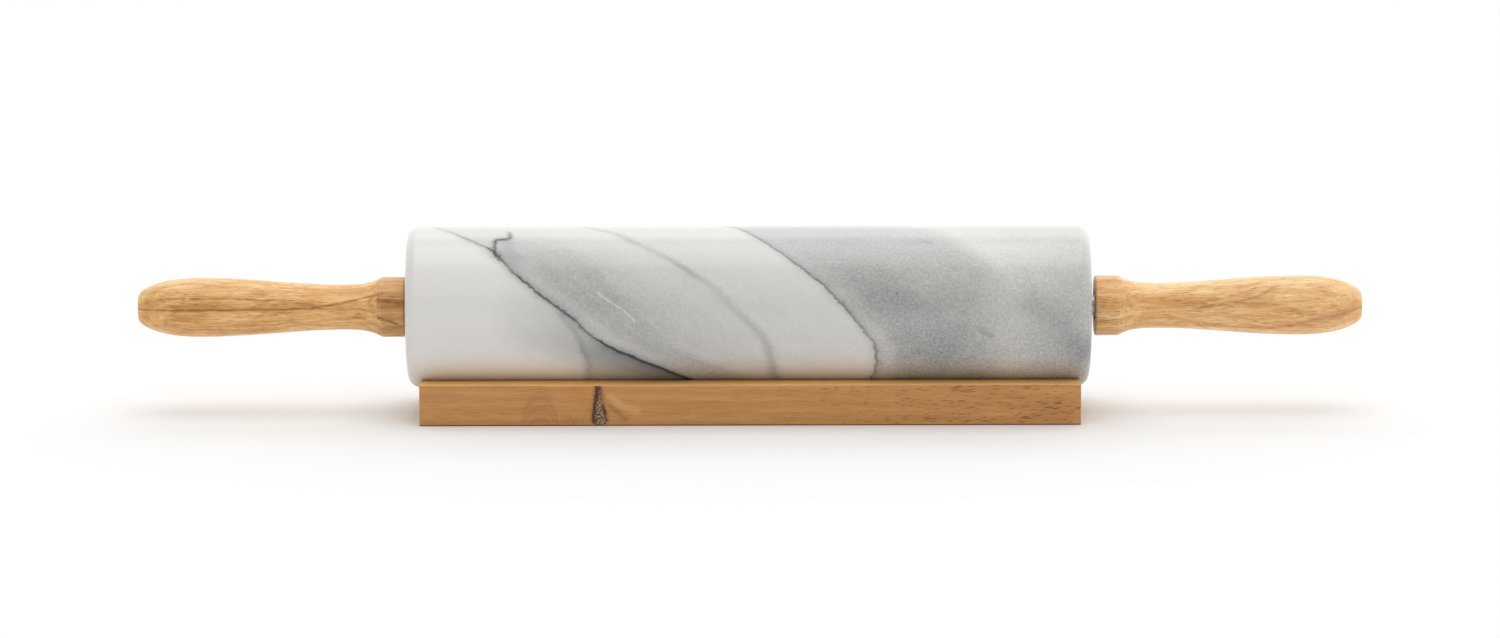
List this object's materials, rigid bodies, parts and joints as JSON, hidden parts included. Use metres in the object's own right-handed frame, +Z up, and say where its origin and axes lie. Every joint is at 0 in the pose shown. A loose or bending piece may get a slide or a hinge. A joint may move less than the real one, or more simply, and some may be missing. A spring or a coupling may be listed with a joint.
{
  "type": "marble rolling pin on wooden cradle",
  "caption": "Rolling pin with a veined marble barrel that turns on a steel rod between turned wooden handles, resting in the groove of a low wooden cradle board.",
  "frame": {"origin": "on the surface that the cradle stands on, midway between the tips of the handles and midway across the cradle", "axes": "+X along the pin's axis towards the right handle, +Y from the viewer towards the back, +Z up"},
  "size_m": [0.4572, 0.06, 0.07],
  "materials": {
    "marble": "honed white marble with grey veins and clouds",
    "handle_wood": "light hardwood, turned and sanded, with short pore lines",
    "cradle_wood": "mid-brown hardwood, sanded, with a small knot in the front face",
    "steel": "plain ground steel",
    "nylon": "natural white nylon"
  },
  "bodies": {
    "cradle": {"cradle": "cradle_wood"},
    "rod_and_handles": {"axle_rod": "steel", "handle_left": "handle_wood", "handle_right": "handle_wood", "handle_insert_left": "steel", "handle_insert_right": "steel"},
    "washers": {"thrust_washer_left": "nylon", "thrust_washer_right": "nylon"},
    "barrel": {"marble_barrel": "marble", "bushing_left": "nylon", "bushing_right": "nylon"}
  },
  "joints": [
    {"name": "lift_off", "type": "slide", "parent": "cradle", "child": "rod_and_handles", "axis": [0, 0, 1], "range_m": [0, 0.08]},
    {"name": "end_play", "type": "slide", "parent": "rod_and_handles", "child": "washers", "axis": [1, 0, 0], "range_m": [-0.00025, 0.00145]},
    {"name": "barrel_spin", "type": "hinge", "parent": "washers", "child": "barrel", "pos_m": [0, 0, 0.04], "axis": [1, 0, 0], "continuous": true}
  ]
}
